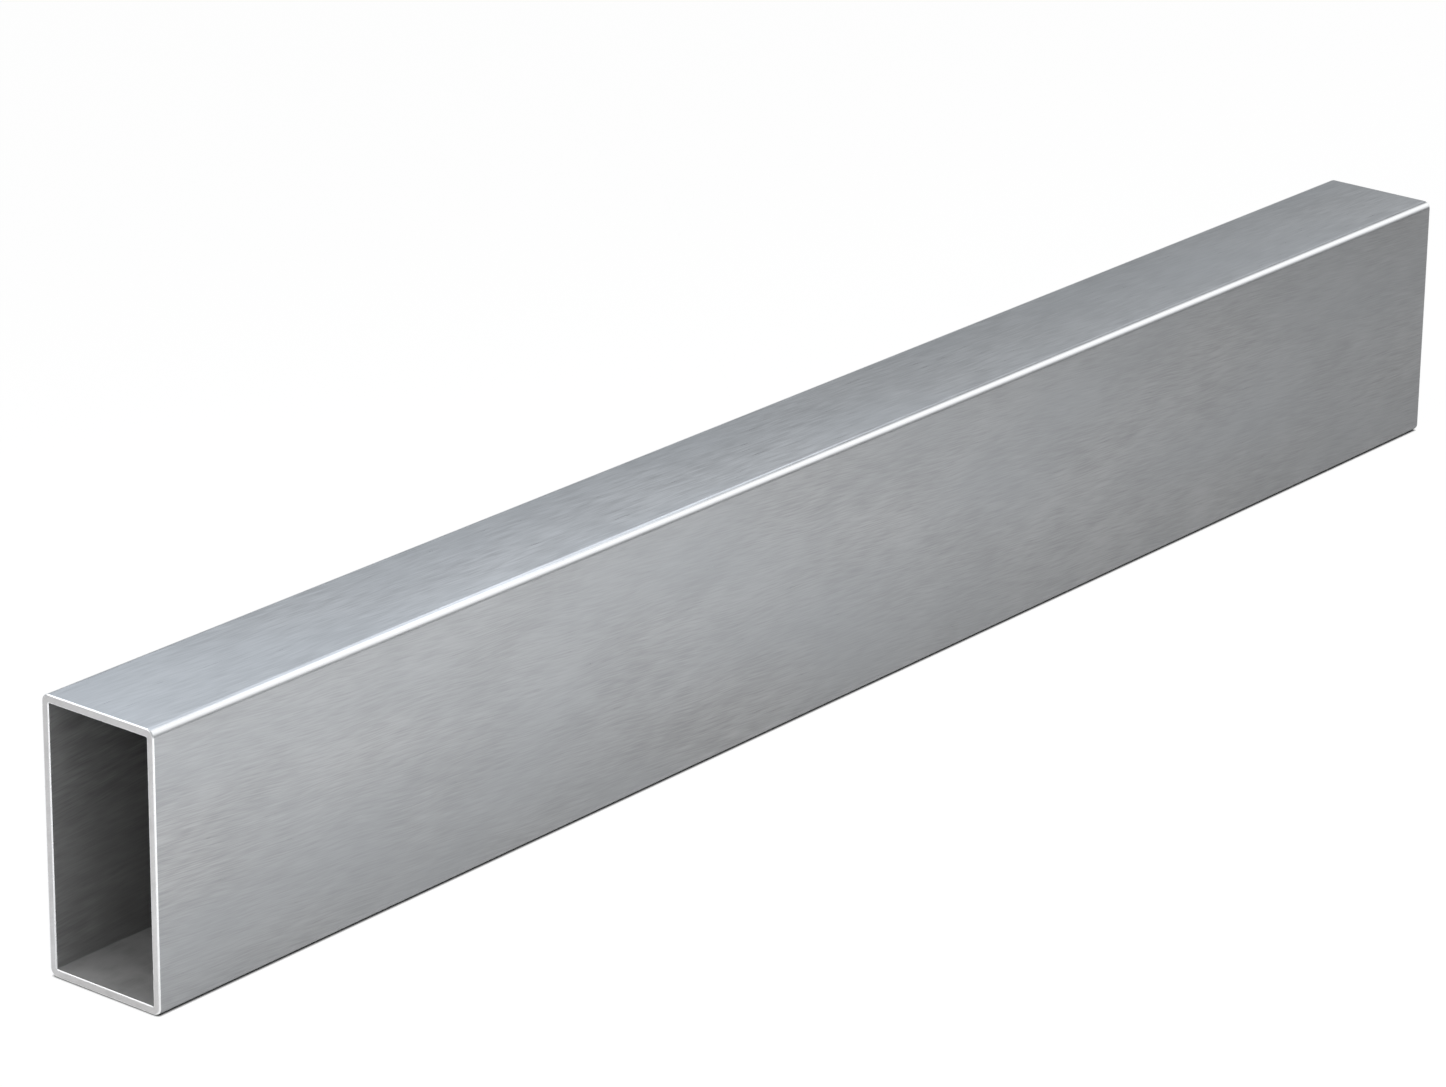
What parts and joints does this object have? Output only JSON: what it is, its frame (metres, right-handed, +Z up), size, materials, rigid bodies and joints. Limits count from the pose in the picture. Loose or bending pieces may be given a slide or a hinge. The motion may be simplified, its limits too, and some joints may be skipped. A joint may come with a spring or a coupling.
{
  "type": "aluminium post",
  "caption": "Straight length of rectangular aluminium hollow section with rounded corners and open sawn ends, for use as a post, rail or frame member.",
  "frame": {"origin": "middle of the underside, the narrow face that the post lies on", "axes": "+X along the post towards the end that is farther away in the picture, +Y across its width, +Z up, at right angles to the face that it lies on"},
  "size_m": [0.75, 0.05, 0.1],
  "materials": {
    "aluminium": "brushed mill finish, with fine strokes that run nearly along the post"
  },
  "bodies": {
    "root": {"post": "aluminium"}
  },
  "joints": []
}
